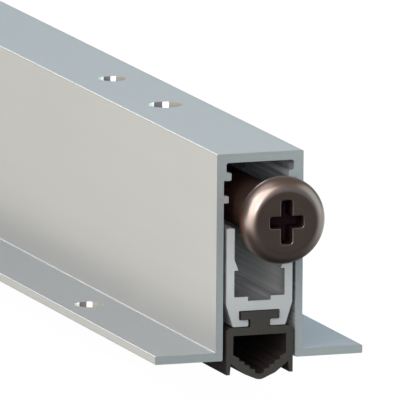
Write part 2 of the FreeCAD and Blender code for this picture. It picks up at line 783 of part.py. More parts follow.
def make_drive():
    make_bar()
    stud_seat = "(slider_start + slider_length - bar_seat)"
    height = f"{AXIS} - flange_thickness"
    make_slider("front_slider", f"{END} - slider_start", 0, "stud_diameter")
    make_slider("rear_slider", f"tail_slider_inset - {END}", 180, "tail_diameter")
    pins = {
        "front_slider_pin": f"{END} - {stud_seat} - bar_seat / 2",
        "rear_slider_pin": f"tail_slider_inset + slider_length - bar_seat / 2 - {END}",
    }
    for label, x in pins.items():
        make_cross_pin(label, x, height, "slider_pin_diameter", BETWEEN_ARMS)
    make_rod(
        "adjusting_stud",
        f"{END} - {stud_seat}",
        f"({END} - shaft_inside + stud_engaged)",
        "stud_diameter",
    )
    make_rod(
        "tail_rod",
        f"tail_end_inset - {END}",
        f"(tail_slider_inset + slider_length - bar_seat - {END})",
        "tail_diameter",
    )
    make_ring(
        "return_stop_nut",
        f"stop_inset - nut_gap - nut_thickness - {END}",
        "nut_thickness",
        "nut_width",
        "tail_diameter / 2",
        6,
    )
    make_spring(
        "return_spring",
        f"stop_inset + stop_length - {END}",
        f"(tail_slider_inset - {END})",
        "return_wire",
        "return_radius",
        "return_turns",
    )
    washer_back = f"({END} - shaft_inside - turning_gap - washer_thickness)"
    make_ring(
        "thrust_washer",
        washer_back,
        "washer_thickness",
        "(shaft_diameter - 2 * washer_play)",
        "stud_diameter / 2 + washer_play",
    )
    make_spring(
        "locking_spring",
        f"{END} - slider_start",
        washer_back,
        "locking_wire",
        "locking_radius",
        "locking_turns",
    )


make_housing()
make_carrier()
make_rubber()
bush_middle = make_bush()
stop_middle = make_spring_stop()
group("bush_screw", [make_grub_screw("bush_grub", bush_middle, "0")])
group("spring_stop_screw", [make_grub_screw("stop_grub", stop_middle, "0")])
for end, station in (("front", STATION), ("rear", f"(-{STATION})")):
    make_guide_block(f"guide_block_{end}", station)
    group(
        f"guide_screws_{end}",
        [
            make_grub_screw(f"{end}_grub_out", f"{station} + grub_offset", "grub_aside"),
            make_grub_screw(f"{end}_grub_in", f"{station} - grub_offset", "-grub_aside"),
        ],
    )
    make_hanger(f"hanger_{end}", station)
    make_cross_pin(f"cam_pin_{end}", station, f"{AXIS} - flange_thickness", "pin_diameter", BETWEEN_BARBS)
    group(
        f"hanger_screws_{end}",
        [
            make_foot_screw(f"{end}_screw_out", f"{station} + screw_spacing / 2"),
            make_foot_screw(f"{end}_screw_in", f"{station} - screw_spacing / 2"),
        ],
    )
make_drive()
make_plunger()
doc.recompute()

faults = [f"{thing.Label}: {thing.State}" for thing in doc.Objects if {"Invalid", "Error"} & set(thing.State)]
for node in nodes:
    shape = node.Shape
    if shape.isNull() or not shape.isValid() or not shape.Solids:
        faults.append(f"{node.Label}: no valid solid")
if faults:
    raise RuntimeError("; ".join(faults))

os.makedirs("parts", exist_ok=True)
for node in nodes:
    node.Shape.exportStep(os.path.join("parts", f"{node.Label}.step"))
    print(node.Label, len(node.Shape.Solids), round(node.Shape.Volume, 1))
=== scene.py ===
import json
import math

import bpy
from mathutils import Matrix, Vector

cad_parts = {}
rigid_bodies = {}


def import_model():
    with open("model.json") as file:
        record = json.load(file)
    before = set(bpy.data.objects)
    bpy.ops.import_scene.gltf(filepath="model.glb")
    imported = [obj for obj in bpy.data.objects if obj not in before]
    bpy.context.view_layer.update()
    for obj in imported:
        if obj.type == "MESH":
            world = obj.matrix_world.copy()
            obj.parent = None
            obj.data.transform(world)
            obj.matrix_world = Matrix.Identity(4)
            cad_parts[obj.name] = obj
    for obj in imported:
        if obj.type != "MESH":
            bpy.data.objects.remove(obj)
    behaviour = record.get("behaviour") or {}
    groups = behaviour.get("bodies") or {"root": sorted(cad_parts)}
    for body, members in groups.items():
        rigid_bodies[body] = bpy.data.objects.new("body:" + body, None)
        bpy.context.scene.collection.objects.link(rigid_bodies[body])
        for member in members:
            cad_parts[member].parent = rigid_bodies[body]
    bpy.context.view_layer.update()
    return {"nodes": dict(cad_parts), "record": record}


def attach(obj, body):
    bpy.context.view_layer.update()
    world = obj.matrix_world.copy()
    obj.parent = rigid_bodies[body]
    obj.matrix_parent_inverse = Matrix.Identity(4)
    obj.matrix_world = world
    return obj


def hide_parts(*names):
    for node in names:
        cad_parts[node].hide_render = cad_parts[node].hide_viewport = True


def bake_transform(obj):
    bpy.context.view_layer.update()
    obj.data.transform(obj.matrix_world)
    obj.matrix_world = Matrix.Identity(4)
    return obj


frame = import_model()
axisHeight = 0.0251  # the plunger's axis above the flanges
plungerEnd = 0.1675  # the channel's end face on the plunger side
nearly = 0.00001  # places this close count as the same
bpy.ops.object.select_all(action="DESELECT")
print("frame loaded")


# Camera, at the photograph's angle
cameraSetup = {
    "aim": (0.159347, -0.008191, 0.025687),
    "turn": 19.633,  # degrees between the seal's length and the line of sight, seen from above
    "elevation": 10.273,
    "roll": -0.422,
    "distance": 3.0495,
    "lens": 1575.0,
    "sensor": 36.0,
}


def addCamera(setup):
    turn = math.radians(setup["turn"])
    rise = math.radians(setup["elevation"])
    roll = math.radians(setup["roll"])
    forward = Vector((-math.cos(turn) * math.cos(rise), math.sin(turn) * math.cos(rise), -math.sin(rise)))
    right = Vector((math.sin(turn), math.cos(turn), 0))
    up = right.cross(forward)
    data = bpy.data.cameras.new("sealCamera")
    data.lens = setup["lens"]
    data.sensor_width = setup["sensor"]
    camera = bpy.data.objects.new("sealCamera", data)
    bpy.context.scene.collection.objects.link(camera)
    tilted = right * math.cos(roll) - up * math.sin(roll)
    upright = right * math.sin(roll) + up * math.cos(roll)
    columns = [tilted, upright, -forward]
    matrix = Matrix([[column[row] for column in columns] for row in range(3)]).to_4x4()
    matrix.translation = Vector(setup["aim"]) - forward * setup["distance"]
    camera.matrix_world = matrix
    bpy.context.scene.camera = camera


addCamera(cameraSetup)
print("camera placed")


# Small helpers for node materials
noiseSpan = (0.3, 0.7)  # the noise values between which one tone turns to another
wideSpan = (0.2, 0.8)
blur = 0.0001  # the width of a mask's soft edge


def setInputs(tree, node, values):
    # each value is a setting, or the output of another node
    for key, value in values.items():
        if isinstance(value, bpy.types.NodeSocket):
            tree.links.new(value, node.inputs[key])
        else:
            node.inputs[key].default_value = value


def addNode(tree, kind, values=None, **settings):
    node = tree.nodes.new(kind)
    for key, value in settings.items():
        setattr(node, key, value)
    setInputs(tree, node, values or {})
    return node


def rgb(colour):
    return (*colour, 1.0)


def startMaterial(name, finish):
    material = bpy.data.materials.new(name)
    material.use_nodes = True
    tree = material.node_tree
    shader = tree.nodes["Principled BSDF"]
    setInputs(tree, shader, {"Metallic": finish["metallic"], "Roughness": finish["roughness"]})
    return material, tree, shader


def xyzOf(tree, kind="Object"):
    # X, Y and Z of a place on the piece, or of the normal there
    coords = addNode(tree, "ShaderNodeTexCoord")
    return addNode(tree, "ShaderNodeSeparateXYZ", {"Vector": coords.outputs[kind]}).outputs


def calculate(tree, operation, first, second=0.0):
    return addNode(tree, "ShaderNodeMath", {0: first, 1: second}, operation=operation).outputs[0]


def lengthOf(tree, parts):
    vector = addNode(tree, "ShaderNodeCombineXYZ", parts).outputs["Vector"]
    return addNode(tree, "ShaderNodeVectorMath", {0: vector}, operation="LENGTH").outputs["Value"]


def grain(tree, scale, detail=2.0, roughness=0.5, turn=(0, 0, 0)):
    coords = addNode(tree, "ShaderNodeTexCoord")
    mapping = addNode(
        tree, "ShaderNodeMapping", {"Vector": coords.outputs["Object"], "Scale": scale, "Rotation": turn}
    )
    noise = addNode(
        tree,
        "ShaderNodeTexNoise",
        {"Vector": mapping.outputs["Vector"], "Scale": 1.0, "Detail": detail, "Roughness": roughness},
    )
    return noise.outputs["Fac"]


def ramp(tree, source, low, high, bottom=0.0, top=1.0):
    node = addNode(
        tree,
        "ShaderNodeMapRange",
        {"Value": source, "From Min": low, "From Max": high, "To Min": bottom, "To Max": top},
    )
    return node.outputs["Result"]


def blendColour(tree, factor, first, second, mode="MIX"):
    first, second = (rgb(value) if isinstance(value, tuple) else value for value in (first, second))
    values = {0: factor, 6: first, 7: second}
    return addNode(tree, "ShaderNodeMix", values, data_type="RGBA", blend_type=mode).outputs[2]


def blendValue(tree, factor, first, second):
    return addNode(tree, "ShaderNodeMix", {0: factor, 2: first, 3: second}, data_type="FLOAT").outputs[0]


def addBump(tree, shader, height, distance):
    bump = addNode(tree, "ShaderNodeBump", {"Height": height, "Distance": distance, "Strength": 1.0})
    tree.links.new(bump.outputs["Normal"], shader.inputs["Normal"])


def varied(tree, noise, finish):
    # a roughness that is a little lower here and a little higher there
    lower, higher = finish["roughSpan"]
    return ramp(tree, noise, *wideSpan, finish["roughness"] - lower, finish["roughness"] + higher)


# Masks by place and by the way a face looks
maskEdges = {
    "end": (0.8, 0.95),  # the first three go by how much of a face's normal lies along an axis
    "level": (0.7, 0.9),
    "drilled": (0.02, 0.05),
    "foot": (0.002, 0.001),  # and these by place
    "nearEnd": (plungerEnd - 0.004, plungerEnd - 0.003),
}


def endMask(tree):
    # 1 on faces that look along the seal's length, such as a sawn end
    return ramp(tree, calculate(tree, "ABSOLUTE", xyzOf(tree, "Normal")["X"]), *maskEdges["end"])


def levelMask(tree):
    # 1 on faces that look straight up or down, and of these, 1 on the ones at the channel's foot
    level = ramp(tree, calculate(tree, "ABSOLUTE", xyzOf(tree, "Normal")["Z"]), *maskEdges["level"])
    foot = ramp(tree, xyzOf(tree)["Z"], *maskEdges["foot"])
    return level, calculate(tree, "MULTIPLY", level, foot)


def insideMask(tree, halfWidth, roof):
    # 1 on the surfaces inside a channel of this half width, below its roof
    place = xyzOf(tree)
    within = ramp(tree, calculate(tree, "ABSOLUTE", place["Y"]), halfWidth + 3 * blur, halfWidth + blur)
    below = ramp(tree, place["Z"], roof + 2 * blur, roof + blur)
    return calculate(tree, "MULTIPLY", within, below)


def drilledMask(tree, atEnd):
    # 1 on the walls of holes: only they and the ends look partly along the seal's length
    partly = ramp(tree, calculate(tree, "ABSOLUTE", xyzOf(tree, "Normal")["X"]), *maskEdges["drilled"])
    return blendValue(tree, atEnd, partly, 0.0)


# painted reflections on the walls of drilled holes, by the way each part of a wall faces
holeReflections = {
    "towards": (0.336, 0.942, 0.0),
    "colours": (
        (0.0, (0.225, 0.21, 0.185)),
        (0.38, (0.98, 0.98, 0.98)),
        (0.565, (0.12, 0.12, 0.12)),
        (0.815, (0.80, 0.92, 0.92)),
    ),
    "metallic": 0.0,
}


def paintedHoleReflections(tree, bands):
    # painted reflections: bright and dark bands stand round the wall of a drilled hole, by the way each part
    # of the wall faces
    normal = addNode(tree, "ShaderNodeTexCoord").outputs["Normal"]
    turned = addNode(
        tree, "ShaderNodeVectorMath", {0: normal, 1: bands["towards"]}, operation="DOT_PRODUCT"
    )
    node = addNode(tree, "ShaderNodeValToRGB", {0: ramp(tree, turned.outputs["Value"], -1.0, 1.0)})
    node.color_ramp.interpolation = "CONSTANT"
    stops = node.color_ramp.elements
    for index, (place, colour) in enumerate(bands["colours"]):
        stop = stops[index] if index < 2 else stops.new(place)
        stop.position = place
        stop.color = rgb(colour)
    return node.outputs["Color"]


# Aluminium of the channel and of the inner extrusion
housingFinish = {
    "colour": (0.490, 0.482, 0.459),
    "shade": (0.482, 0.474, 0.451),
    "stain": (0.460, 0.452, 0.429),
    # painted light on level faces, and painted shade on level faces at the channel's foot
    "levelLightTint": (1.04, 1.05, 1.06),
    "footShadeTint": (0.81, 0.85, 0.92),
    "cloudSpan": (0.35, 0.75),
    "cloudAmount": 0.35,
    "sawn": (0.30, 0.335, 0.345),
    "sawnShade": (0.285, 0.32, 0.33),
    "sawnAcross": (-0.008, 0.008),
    # painted light and shade on the sawn end: brighter to the right, and scaled low down
    "sawnRightLight": 1.12,
    "sawnHeights": (0.012, 0.0),
    "sawnLowShading": 1.03,
    "metallic": 0.6,
    "insideHalf": 0.0067,
    "insideRoof": 0.0336,
    # painted light and shade inside the channel: dark at the mouth, paler deeper in and low down
    "insideMouthShade": (0.185, 0.198, 0.208),
    "insideDeepLight": (0.37, 0.395, 0.42),
    "insideHeights": (0.012, 0.004),
    "insideLowLight": 1.8,
    "insideFade": (0.0005, 0.014),
    "streakAmount": 0.5,
    "insideMetallic": 0.1,
    "insideRoughness": 0.5,
    "streaks": (5.0, 2000.0, 2000.0),
    "roughness": 0.30,
    "cloudRoughness": 0.02,
    "levelRoughness": 0.2,
    "sawnRoughness": 0.42,
    "bands": (4.0, 620.0, 620.0),
    "cloud": (22.0, 60.0, 60.0),
    "sawMarks": (400.0, 500.0, 3600.0),
    "sawTurn": (math.radians(14), 0, 0),
    "relief": 0.000001,
}
carrierFinish = {
    **housingFinish,
    "colour": (0.45, 0.46, 0.47),
    "shade": (0.41, 0.42, 0.43),
    "sawn": (0.53, 0.553, 0.563),
    "sawnShade": (0.506, 0.53, 0.54),
    "sawnRightLight": 1.08,
    "sawnLowShading": 0.70,
    "insideLowLight": 1.0,
    "insideHalf": 0.00465,
    # painted light and shade inside the carrier, as for the housing
    "insideMouthShade": (0.115, 0.118, 0.122),
    "insideDeepLight": (0.86, 0.88, 0.90),
    "insideFade": (0.0005, 0.022),
    "streakAmount": 0.35,
    "levelLightTint": (1.0, 1.0, 1.0),
    "footShadeTint": (1.0, 1.0, 1.0),
    "roughness": 0.36,
    "levelRoughness": 0.36,
    "sawTurn": (math.radians(-28), 0, 0),
}


def outsideColour(tree, finish, cloud):
    # faint bands along the extrusion, and clouds; level faces get painted light, a little paler and bluer,
    # and those at the channel's foot get painted shade, darker and bluer
    bands = grain(tree, finish["bands"])
    colour = blendColour(tree, ramp(tree, bands, *noiseSpan), finish["colour"], finish["shade"])
    clouded = ramp(tree, cloud, *finish["cloudSpan"], 0.0, finish["cloudAmount"])
    colour = blendColour(tree, clouded, colour, finish["stain"])
    level, foot = levelMask(tree)
    colour = blendColour(tree, level, colour, finish["levelLightTint"], "MULTIPLY")
    return blendColour(tree, foot, colour, finish["footShadeTint"], "MULTIPLY")


def insideColour(tree, finish, away):
    # painted light and shade: dark at the mouth, paler further in and low down, where the lamps hardly
    # reach, with streaks along it
    mouth, deep = (plungerEnd - depth for depth in finish["insideFade"])
    colour = blendColour(tree, ramp(tree, away, mouth, deep), finish["insideMouthShade"], finish["insideDeepLight"])
    low = ramp(tree, xyzOf(tree)["Z"], *finish["insideHeights"], 1.0, finish["insideLowLight"])
    colour = blendColour(tree, 1.0, colour, low, "MULTIPLY")
    streaks = grain(tree, finish["streaks"], 2.0, 0.6)
    return blendColour(tree, ramp(tree, streaks, *noiseSpan, 0.0, finish["streakAmount"]), colour, (0, 0, 0))


def sawnColour(tree, finish, saw):
    # the sawn end, with painted light and shade: a little brighter to the right, and scaled low down by a
    # factor of each finish
    colour = blendColour(tree, ramp(tree, saw, *noiseSpan), finish["sawn"], finish["sawnShade"])
    place = xyzOf(tree)
    side = ramp(tree, place["Y"], *finish["sawnAcross"], 1.0, finish["sawnRightLight"])
    low = ramp(tree, place["Z"], *finish["sawnHeights"], 1.0, finish["sawnLowShading"])
    return blendColour(tree, 1.0, colour, calculate(tree, "MULTIPLY", side, low), "MULTIPLY")


def extrudedAluminium(name, finish):
    # die lines run along the extrusion, its inside is duller, and its ends are sawn
    material, tree, shader = startMaterial(name, finish)
    away = calculate(tree, "ABSOLUTE", xyzOf(tree)["X"])
    atEnd = ramp(tree, away, *maskEdges["nearEnd"])
    ends = calculate(tree, "MULTIPLY", endMask(tree), atEnd)
    drilled = drilledMask(tree, atEnd)
    inside = blendValue(tree, ends, insideMask(tree, finish["insideHalf"], finish["insideRoof"]), 0.0)
    cloud = grain(tree, finish["cloud"], 3.0)
    saw = grain(tree, finish["sawMarks"], 2.0, 0.6, turn=finish["sawTurn"])

    colour = blendColour(tree, inside, outsideColour(tree, finish, cloud), insideColour(tree, finish, away))
    colour = blendColour(tree, drilled, colour, paintedHoleReflections(tree, holeReflections))
    colour = blendColour(tree, ends, colour, sawnColour(tree, finish, saw))
    metallic = blendValue(tree, inside, finish["metallic"], finish["insideMetallic"])
    metallic = blendValue(tree, drilled, metallic, holeReflections["metallic"])
    rough = finish["roughness"]
    rough = ramp(tree, cloud, *noiseSpan, rough, rough + finish["cloudRoughness"])
    rough = blendValue(tree, levelMask(tree)[0], rough, finish["levelRoughness"])
    rough = blendValue(tree, inside, rough, finish["insideRoughness"])
    rough = blendValue(tree, ends, rough, finish["sawnRoughness"])
    setInputs(tree, shader, {"Base Color": colour, "Metallic": metallic, "Roughness": rough})
    addBump(tree, shader, blendValue(tree, ends, 0.5, saw), finish["relief"])
    return material


# Rubber of the seal
rubberFinish = {
    "colour": (0.014, 0.010, 0.009),
    "shade": (0.009, 0.006, 0.006),
    "cut": (0.027, 0.026, 0.024),
    "cutShade": (0.023, 0.022, 0.020),
    "metallic": 0.0,
    "specular": 0.22,
    "roughness": 0.52,
    "roughSpan": (0.06, 0.10),
    "skinRoughness": 0.85,
    "lines": (12.0, 2600.0, 2600.0),
    "speckle": (2600.0, 2600.0, 2600.0),
    "relief": 0.000015,
}


def rubber(name, finish):
    # the moulded skin is nearly black, and the cut end is greyer
    material, tree, shader = startMaterial(name, finish)
    speckle = grain(tree, finish["speckle"])
    ends = endMask(tree)
    pattern = blendValue(tree, ends, grain(tree, finish["lines"]), speckle)
    worn = ramp(tree, pattern, *noiseSpan)
    skin = blendColour(tree, worn, finish["colour"], finish["shade"])
    cut = blendColour(tree, worn, finish["cut"], finish["cutShade"])
    rough = blendValue(tree, ends, finish["skinRoughness"], varied(tree, speckle, finish))
    setInputs(
        tree,
        shader,
        {
            "Base Color": blendColour(tree, ends, skin, cut),
            "Roughness": rough,
            "Specular IOR Level": finish["specular"],
        },
    )
    addBump(tree, shader, pattern, finish["relief"])
    return material


# Bronze of the plunger
bronzeFinish = {
    "colour": (0.116, 0.073, 0.058),
    "shade": (0.105, 0.066, 0.052),
    # painted light: the shaft, paler than the head
    "shaft": (0.200, 0.115, 0.092),
    "shaftTo": plungerEnd + 0.0095,
    "shaftRadius": 0.0047,
    "metallic": 0.95,
    "coat": 1.0,
    "rimCoat": 0.0,
    "coatRoughness": 0.28,
    "coatIor": 1.8,
    "flank": (-0.95, -0.78),  # where the head's side looks this far to the left, the coat thins out
    "rimTint": (0.30, 0.22, 0.18),
    # painted shade: the recess, near black
    "recess": (0.016, 0.008, 0.010),
    "recessFrom": plungerEnd + 0.0138,
    "recessFade": 0.0012,
    "recessRadius": 0.0042,
    "recessRoughness": 0.6,
    "roughness": 0.33,
    "roughSpan": (0.04, 0.06),
    "centre": (0, 0, -axisHeight),
    "toolMarks": 5200.0,
    "cloud": (260.0, 260.0, 260.0),
    "relief": 0.000001,
}


def turnedBronze(name, finish):
    # rings left by the lathe run round the plunger's axis
    material, tree, shader = startMaterial(name, finish)
    coords = addNode(tree, "ShaderNodeTexCoord")
    centred = addNode(
        tree, "ShaderNodeMapping", {"Vector": coords.outputs["Object"], "Location": finish["centre"]}
    )
    place = addNode(tree, "ShaderNodeSeparateXYZ", {"Vector": centred.outputs["Vector"]}).outputs
    radius = lengthOf(tree, {"Y": place["Y"], "Z": place["Z"]})
    rings = addNode(
        tree,
        "ShaderNodeTexNoise",
        {"W": calculate(tree, "ADD", radius, place["X"]), "Scale": finish["toolMarks"], "Detail": 2.0},
        noise_dimensions="1D",
    )
    cloud = grain(tree, finish["cloud"], 3.0)

    # painted shade: the recess is painted darkest; painted light: the shaft is painted paler and a little
    # warmer than the head
    sunk = ramp(tree, place["X"], finish["recessFrom"] - blur, finish["recessFrom"] - finish["recessFade"])
    within = ramp(tree, radius, finish["recessRadius"] + blur, finish["recessRadius"])
    recess = calculate(tree, "MULTIPLY", sunk, within)
    behind = ramp(tree, place["X"], finish["shaftTo"] + 2 * blur, finish["shaftTo"])
    slim = ramp(tree, radius, finish["shaftRadius"] + blur, finish["shaftRadius"])
    shaft = calculate(tree, "MULTIPLY", behind, slim)
    colour = blendColour(tree, ramp(tree, cloud, *noiseSpan), finish["colour"], finish["shade"])
    colour = blendColour(tree, shaft, colour, finish["shaft"])

    # the finish is thinner on one flank of the head
    bare = calculate(tree, "MAXIMUM", recess, shaft)
    coat = ramp(tree, xyzOf(tree, "Normal")["Y"], *finish["flank"], finish["rimCoat"], finish["coat"])
    setInputs(
        tree,
        shader,
        {
            "Base Color": blendColour(tree, recess, colour, finish["recess"]),
            "Roughness": blendValue(tree, recess, varied(tree, cloud, finish), finish["recessRoughness"]),
            "Coat Weight": blendValue(tree, bare, coat, 0.0),
            "Coat Roughness": finish["coatRoughness"],
            "Coat IOR": finish["coatIor"],
            "Specular Tint": rgb(finish["rimTint"]),
        },
    )
    addBump(tree, shader, rings.outputs["Fac"], finish["relief"])
    return material


# Plain finishes of the inner pieces
zincFinish = {
    "colour": (0.56, 0.56, 0.54),
    "shade": (0.45, 0.46, 0.46),
    "metallic": 1.0,
    "roughness": 0.30,
    "roughSpan": (0.06, 0.10),
    "mottle": (420.0, 420.0, 420.0),
    "relief": 0.000006,
}
springFinish = {
    **zincFinish,
    "colour": (0.40, 0.40, 0.41),
    "shade": (0.28, 0.28, 0.29),
    "roughness": 0.26,
    "mottle": (900.0, 900.0, 900.0),
}
screwFinish = {
    **zincFinish,
    "colour": (0.075, 0.075, 0.08),
    "shade": (0.045, 0.045, 0.05),
    "metallic": 0.9,
    "roughness": 0.38,
    "mottle": (700.0, 700.0, 700.0),
}
acetalFinish = {
    **zincFinish,
    "colour": (0.035, 0.035, 0.037),
    "shade": (0.026, 0.026, 0.028),
    "metallic": 0.0,
    "roughness": 0.45,
    "mottle": (1500.0, 1500.0, 1500.0),
    "relief": 0.000012,
}


def mottled(name, finish):
    material, tree, shader = startMaterial(name, finish)
    mottle = grain(tree, finish["mottle"], 3.0)
    colour = blendColour(tree, ramp(tree, mottle, *noiseSpan), finish["colour"], finish["shade"])
    setInputs(tree, shader, {"Base Color": colour, "Roughness": varied(tree, mottle, finish)})
    addBump(tree, shader, mottle, finish["relief"])
    return material


materials = {
    "housing_aluminium": extrudedAluminium("housingAluminium", housingFinish),
    "carrier_aluminium": extrudedAluminium("carrierAluminium", carrierFinish),
    "seal_rubber": rubber("sealRubber", rubberFinish),
    "bronze": turnedBronze("darkBronze", bronzeFinish),
    "zinc_steel": mottled("zincSteel", zincFinish),
    "spring_steel": mottled("springSteel", springFinish),
    "dark_screws": mottled("darkScrews", screwFinish),
    "acetal": mottled("blackAcetal", acetalFinish),
}
slotOf = {part["node"]: part["material_slot"] for part in frame["record"]["subparts"]}
for nodeName, nodeObject in frame["nodes"].items():
    nodeObject.data.materials.clear()
    nodeObject.data.materials.append(materials[slotOf[nodeName]])
print("materials assigned")


# Helpers for modelling
def selectOnly(piece):
    bpy.ops.object.select_all(action="DESELECT")
    bpy.context.view_layer.objects.active = piece
    piece.select_set(True)


def edit(piece, kind, action="SELECT"):
    # edit mode on vertices, edges or faces, with all or none of them selected
    selectOnly(piece)
    bpy.ops.object.mode_set(mode="EDIT")
    bpy.ops.mesh.select_mode(type=kind)
    bpy.ops.mesh.select_all(action=action)


def leaveEdit():
    bpy.ops.object.mode_set(mode="OBJECT")


def pick(piece, kind, test):
    # selects faces or edges by their place, and leaves the piece in edit mode
    edit(piece, kind, "DESELECT")
    leaveEdit()
    mesh = piece.data
    for element in mesh.polygons if kind == "FACE" else mesh.edges:
        if test([mesh.vertices[index].co for index in element.vertices]):
            element.select = True
    bpy.ops.object.mode_set(mode="EDIT")


def bevelEdges(piece, test, width, segments=1):
    pick(piece, "EDGE", test)
    bpy.ops.mesh.bevel(offset=width, segments=segments, affect="EDGES")
    leaveEdit()


def turnOutwards(piece):
    edit(piece, "VERT")
    bpy.ops.mesh.normals_make_consistent(inside=False)
    leaveEdit()


def applyModifier(piece, kind, **settings):
    selectOnly(piece)
    modifier = piece.modifiers.new(kind.lower(), kind)
    for key, value in settings.items():
        setattr(modifier, key, value)
    bpy.ops.object.modifier_apply(modifier=modifier.name)


def windRound(piece, rise, turns, steps, **settings):
    # the piece is swept round the X axis, and each turn moves it along by the rise
    applyModifier(
        piece,
        "SCREW",
        axis="X",
        angle=2 * math.pi,
        screw_offset=rise,
        iterations=turns,
        steps=steps,
        render_steps=steps,
        **settings,
    )


def cutAway(piece, tool, operation="DIFFERENCE"):
    applyModifier(piece, "BOOLEAN", object=tool, operation=operation, solver="EXACT")
    bpy.data.objects.remove(tool, do_unlink=True)


def settle(piece, name):
    # the place goes into the mesh, and the object stands at the origin
    selectOnly(piece)
    bpy.ops.object.transform_apply(location=True, rotation=True, scale=True)
    piece.name = name
    piece.data.name = name
    return piece


def smooth(piece, degrees):
    selectOnly(piece)
    bpy.ops.object.shade_smooth_by_angle(angle=math.radians(degrees))


def finishPiece(piece, slotName, body, *nodes):
    piece.data.materials.clear()
    piece.data.materials.append(materials[slotName])
    if body:
        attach(piece, body)
    if nodes:
        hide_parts(*nodes)


def roundBar(radius, start, end, sides=64):
    # a cylinder on the plunger's axis, between two places along it
    bpy.ops.object.select_all(action="DESELECT")
    bpy.ops.mesh.primitive_cylinder_add(
        vertices=sides,
        radius=radius,
        depth=end - start,
        location=((start + end) / 2, 0, axisHeight),
        rotation=(0, math.pi / 2, 0),
    )
    return settle(bpy.context.object, "roundBar")


def allAt(corners, x):
    return all(abs(corner.x - x) < nearly for corner in corners)


def offAxis(corner):
    return math.hypot(corner.y, corner.z - axisHeight)


def onRing(corners, x, radius):
    return allAt(corners, x) and all(abs(offAxis(corner) - radius) < nearly for corner in corners)


# Plunger: head, shaft and threaded bore turned in one piece
plungerShape = {
    "sides": 128,
    "headRadius": 0.00773,
    "frontFace": plungerEnd + 0.0138,
    "backFace": plungerEnd + 0.0102,
    "rim": 0.0025,
    "backEdge": 0.0009,
    "shaftRadius": 0.0045,
    "shaftEnd": plungerEnd - 0.0460,
    "shaftEdge": 0.0005,
    "boreRadius": 0.00255,
    "boreDepth": 0.0280,
    "crossTall": 0.00795,
    "crossWide": 0.0064,
    "crossSlot": 0.0023,
    "crossDepth": 0.0034,
    "crossDraft": 0.0002,
    "crossCorner": 0.00045,
    "crossReach": 0.0045,  # all of the recess's edges lie within this of the axis
    "softEdge": 0.0002,
}


def crossCutter(shape):
    # a plus-shaped plug, a little smaller at its bottom
    bars = []
    middle = Vector((shape["frontFace"], 0, axisHeight))
    for tall, wide in ((shape["crossTall"], shape["crossSlot"]), (shape["crossSlot"], shape["crossWide"])):
        bpy.ops.object.select_all(action="DESELECT")
        bpy.ops.mesh.primitive_cube_add(
            size=1, location=middle, scale=(2 * shape["crossDepth"], wide, tall)
        )
        bar = settle(bpy.context.object, "crossBar")
        bevelEdges(
            bar, lambda ends: abs(ends[0].x - ends[1].x) > shape["crossDepth"], shape["crossCorner"], 3
        )
        for vertex in bar.data.vertices:
            if vertex.co.x < shape["frontFace"]:
                across = vertex.co - middle
                across.y *= 1 - 2 * shape["crossDraft"] / wide
                across.z *= 1 - 2 * shape["crossDraft"] / tall
                vertex.co = middle + across
        bars.append(bar)
    cutAway(bars[0], bars[1], "UNION")
    return bars[0]


def extrudeAlong(distance):
    bpy.ops.mesh.extrude_region_move(TRANSFORM_OT_translate={"value": (distance, 0, 0)})


def modelPlunger(shape):
    piece = roundBar(shape["headRadius"], shape["backFace"], shape["frontFace"], shape["sides"])
    pick(piece, "FACE", lambda corners: allAt(corners, shape["backFace"]))
    bpy.ops.mesh.inset(thickness=shape["headRadius"] - shape["shaftRadius"], depth=0)
    extrudeAlong(shape["shaftEnd"] - shape["backFace"])
    bpy.ops.mesh.inset(thickness=shape["shaftRadius"] - shape["boreRadius"], depth=0)
    extrudeAlong(shape["boreDepth"])
    leaveEdit()
    edges = (
        (shape["frontFace"], shape["headRadius"], shape["rim"], 12),
        (shape["backFace"], shape["headRadius"], shape["backEdge"], 8),
        (shape["shaftEnd"], shape["shaftRadius"], shape["shaftEdge"], 3),
    )
    for x, radius, width, segments in edges:
        bevelEdges(piece, lambda ends: onRing(ends, x, radius), width, segments)
    cutAway(piece, crossCutter(shape))

    def atRecess(ends):
        return allAt(ends, shape["frontFace"]) and all(offAxis(end) < shape["crossReach"] for end in ends)

    bevelEdges(piece, atRecess, shape["softEdge"], 2)
    settle(piece, "turnedPlunger")
    smooth(piece, 32)
    applyModifier(piece, "WEIGHTED_NORMAL", weight=100, keep_sharp=True)
    finishPiece(piece, "bronze", "plunger", "plunger")


modelPlunger(plungerShape)
print("plunger modelled")


# Threaded stud, tail rod and nut of the drive
studThread = {"node": "adjusting_stud", "pitch": 0.0008, "depth": 0.00049, "crest": 0.12}
tailThread = {
    "node": "tail_rod",
    "pitch": 0.0007,
    "depth": 0.00043,
    "crest": 0.12,
    "length": 0.0125,
    "chamfer": 0.0003,
}
threadMaking = {
    "steps": 36,
    "lead": 2.5,  # turns before the start, and then turns to spare, which the bar cuts off
    "spare": 5,
    "weld": 0.000002,
    "oversize": 1.02,
}
stopNut = {
    "node": "return_stop_nut",
    "turn": math.radians(30),  # brings a corner to the top
    "chamfer": 0.0005,
    "oversize": 1.002,
    "boreRadius": 0.0021,
    "boreOverrun": 0.001,
}


def nodeBox(name):
    corners = [vertex.co for vertex in frame["nodes"][name].data.vertices]
    low = Vector([min(corner[axis] for corner in corners) for axis in range(3)])
    high = Vector([max(corner[axis] for corner in corners) for axis in range(3)])
    return low, high


def closeEnd(piece, first):
    # an open end of the sweep is drawn together to a point on the axis
    used = {}
    for face in piece.data.polygons:
        for key in face.edge_keys:
            used[key] = used.get(key, 0) + 1
    middle = sum(vertex.co.x for vertex in piece.data.vertices) / len(piece.data.vertices)
    edit(piece, "EDGE", "DESELECT")
    leaveEdit()
    for edge in piece.data.edges:
        here = piece.data.vertices[edge.vertices[0]].co.x
        if used.get(edge.key, 0) == 1 and (here < middle) == first:
            edge.select = True
    bpy.ops.object.mode_set(mode="EDIT")
    bpy.ops.mesh.extrude_edges_move()
    bpy.ops.mesh.merge(type="CENTER")
    leaveEdit()


